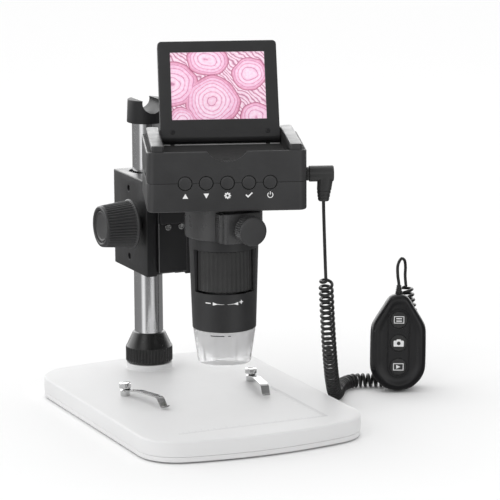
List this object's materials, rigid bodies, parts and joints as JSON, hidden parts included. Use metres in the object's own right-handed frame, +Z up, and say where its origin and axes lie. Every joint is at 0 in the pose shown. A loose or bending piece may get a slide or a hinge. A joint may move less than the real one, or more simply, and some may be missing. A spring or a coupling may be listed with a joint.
{
  "type": "lcd digital microscope",
  "caption": "Desktop digital microscope with a folding display lid, a rack-focused block on a steel column, a white base plate and a wired remote on a curly cord.",
  "frame": {"origin": "centre of the base plate's plan, on the surface that the microscope stands on", "axes": "+Z up along the column; +X to the right and -Y towards the user, who faces the display"},
  "size_m": [0.2847, 0.2597, 0.2853],
  "materials": {
    "white_plastic": "white ABS with a fine satin texture",
    "black_plastic": "charcoal black ABS, satin",
    "gloss_black": "black ABS, semi-gloss",
    "black_paint": "cast aluminium with a black satin powder coat",
    "column_steel": "polished steel tube, chromed",
    "clip_steel": "polished spring steel",
    "screw_chrome": "bright screws and socket shells",
    "inner_steel": "plain machined steel",
    "bush_brass": "turned brass",
    "inner_alloy": "turned aluminium, black inside",
    "clear_plastic": "clear moulded polycarbonate",
    "lens_glass": "coated optical glass",
    "display_glass": "display behind a clear cover, showing a magnified specimen",
    "led_white": "white light-emitting diodes on their ring board",
    "board_green": "glass-fibre circuit board",
    "cell_foil": "foil pouch of the cell",
    "wheel_rubber": "ribbed black rubberised plastic",
    "foot_rubber": "soft non-slip pad",
    "cord_black": "black cord jacket"
  },
  "bodies": {
    "root": {"base_pad": "foot_rubber", "base_bottom": "white_plastic", "base_shell": "white_plastic", "base_weight": "inner_steel", "base_screws": "inner_steel", "column": "column_steel", "column_bolt": "inner_steel", "column_cap": "black_plastic", "clip_posts": "clip_steel", "remote_front": "gloss_black", "remote_back": "gloss_black", "remote_board": "board_green", "remote_relief": "cord_black", "cord_coil": "cord_black", "cord_tail": "cord_black"},
    "lock_collar": {"lock_collar": "black_plastic"},
    "clip_left": {"clip_left": "clip_steel"},
    "clip_right": {"clip_right": "clip_steel"},
    "bush": {"clamp_bush": "black_paint"},
    "block": {"block_housing": "black_paint", "block_screws": "inner_steel"},
    "block_lock": {"block_lock_knob": "black_plastic"},
    "focus_shaft": {"pinion_shaft": "inner_steel", "knob_left": "black_plastic", "knob_right": "black_plastic"},
    "slide": {"slide_plate": "black_paint", "rack": "bush_brass", "slide_screws": "screw_chrome", "ring_holder": "black_paint"},
    "ring_clamp": {"ring_clamp_knob": "black_plastic"},
    "head": {"head_lower": "black_plastic", "head_upper": "black_plastic", "head_screws": "inner_steel", "main_board": "board_green", "battery": "cell_foil", "button_board": "board_green", "jack_socket": "gloss_black", "side_sockets": "screw_chrome", "barrel": "black_plastic", "barrel_core": "inner_alloy", "image_sensor": "board_green", "led_ring": "led_white", "shroud": "clear_plastic", "plug": "gloss_black", "cord_lead": "cord_black"},
    "focus_wheel": {"focus_wheel": "wheel_rubber"},
    "lens": {"lens_carrier": "inner_alloy", "objective_lens": "lens_glass"},
    "lid": {"lid_bezel": "black_plastic", "lcd_panel": "display_glass", "lid_back": "black_plastic", "hinge_pins": "inner_steel"},
    "btn_up": {"btn_up": "black_plastic"},
    "btn_down": {"btn_down": "black_plastic"},
    "btn_menu": {"btn_menu": "black_plastic"},
    "btn_ok": {"btn_ok": "black_plastic"},
    "btn_power": {"btn_power": "black_plastic"},
    "remote_btn_1": {"remote_btn_1": "wheel_rubber"},
    "remote_btn_2": {"remote_btn_2": "wheel_rubber"},
    "remote_btn_3": {"remote_btn_3": "wheel_rubber"}
  },
  "joints": [
    {"name": "column_slide", "type": "slide", "parent": "root", "child": "bush", "axis": [0, 0, 1], "range_m": [-0.014, 0.036], "deforming": ["cord_coil", "cord_lead"]},
    {"name": "block_swing", "type": "hinge", "parent": "bush", "child": "block", "pos_m": [0, 0.0971, 0.137], "axis": [0, 0, 1], "range_deg": [-30, 30], "deforming": ["cord_coil", "cord_lead"]},
    {"name": "focus_travel", "type": "slide", "parent": "block", "child": "slide", "axis": [0, 0, 1], "range_m": [-0.012, 0.012], "deforming": ["cord_coil", "cord_lead"]},
    {"name": "focus_shaft_turn", "type": "hinge", "parent": "block", "child": "focus_shaft", "pos_m": [0, 0.064, 0.1398], "axis": [1, 0, 0], "range_deg": [-88, 88]},
    {"name": "block_lock_turn", "type": "hinge", "parent": "block", "child": "block_lock", "pos_m": [0, 0.12, 0.137], "axis": [0, 1, 0], "range_deg": [0, 360]},
    {"name": "ring_clamp_turn", "type": "hinge", "parent": "slide", "child": "ring_clamp", "pos_m": [0, -0.092, 0.161], "axis": [0, -1, 0], "range_deg": [0, 360]},
    {"name": "head_swivel", "type": "hinge", "parent": "slide", "child": "head", "pos_m": [0, -0.04928, 0.161], "axis": [0, 0, 1], "range_deg": [-30, 40], "deforming": ["cord_coil", "cord_lead"]},
    {"name": "focus_wheel_turn", "type": "hinge", "parent": "head", "child": "focus_wheel", "pos_m": [0, -0.04928, 0.12], "axis": [0, 0, 1], "range_deg": [-150, 150]},
    {"name": "lens_travel", "type": "slide", "parent": "head", "child": "lens", "axis": [0, 0, 1], "range_m": [-0.0041, 0.0041]},
    {"name": "lid_hinge", "type": "hinge", "parent": "head", "child": "lid", "pos_m": [0.01101, -0.01923, 0.2173], "axis": [0.9389, -0.3442, 0], "range_deg": [-7.6, 117]},
    {"name": "btn_up_press", "type": "slide", "parent": "head", "child": "btn_up", "axis": [0.3442, 0.9389, 0], "range_m": [0, 0.0008], "stiffness_N_per_m": 400},
    {"name": "btn_down_press", "type": "slide", "parent": "head", "child": "btn_down", "axis": [0.3442, 0.9389, 0], "range_m": [0, 0.0008], "stiffness_N_per_m": 400},
    {"name": "btn_menu_press", "type": "slide", "parent": "head", "child": "btn_menu", "axis": [0.3442, 0.9389, 0], "range_m": [0, 0.0008], "stiffness_N_per_m": 400},
    {"name": "btn_ok_press", "type": "slide", "parent": "head", "child": "btn_ok", "axis": [0.3442, 0.9389, 0], "range_m": [0, 0.0008], "stiffness_N_per_m": 400},
    {"name": "btn_power_press", "type": "slide", "parent": "head", "child": "btn_power", "axis": [0.3442, 0.9389, 0], "range_m": [0, 0.0008], "stiffness_N_per_m": 400},
    {"name": "remote_btn_1_press", "type": "slide", "parent": "root", "child": "remote_btn_1", "axis": [0.371, 0.9182, -0.1392], "range_m": [0, 0.0006], "stiffness_N_per_m": 400},
    {"name": "remote_btn_2_press", "type": "slide", "parent": "root", "child": "remote_btn_2", "axis": [0.371, 0.9182, -0.1392], "range_m": [0, 0.0006], "stiffness_N_per_m": 400},
    {"name": "remote_btn_3_press", "type": "slide", "parent": "root", "child": "remote_btn_3", "axis": [0.371, 0.9182, -0.1392], "range_m": [0, 0.0006], "stiffness_N_per_m": 400},
    {"name": "clip_left_swing", "type": "hinge", "parent": "root", "child": "clip_left", "pos_m": [-0.0525, 0.019, 0.022], "axis": [0, 0, 1], "range_deg": [-40, 25]},
    {"name": "clip_right_swing", "type": "hinge", "parent": "root", "child": "clip_right", "pos_m": [0.0525, 0.019, 0.022], "axis": [0, 0, 1], "range_deg": [-25, 40]},
    {"name": "lock_collar_turn", "type": "hinge", "parent": "root", "child": "lock_collar", "pos_m": [0, 0.0971, 0.03], "axis": [0, 0, 1], "range_deg": [0, 360]}
  ],
  "couplings": [
    {"joint": "focus_shaft_turn", "follows": "focus_travel", "rad_per_m": -125},
    {"joint": "lens_travel", "follows": "focus_wheel_turn", "m_per_rad": 0.0015279}
  ]
}
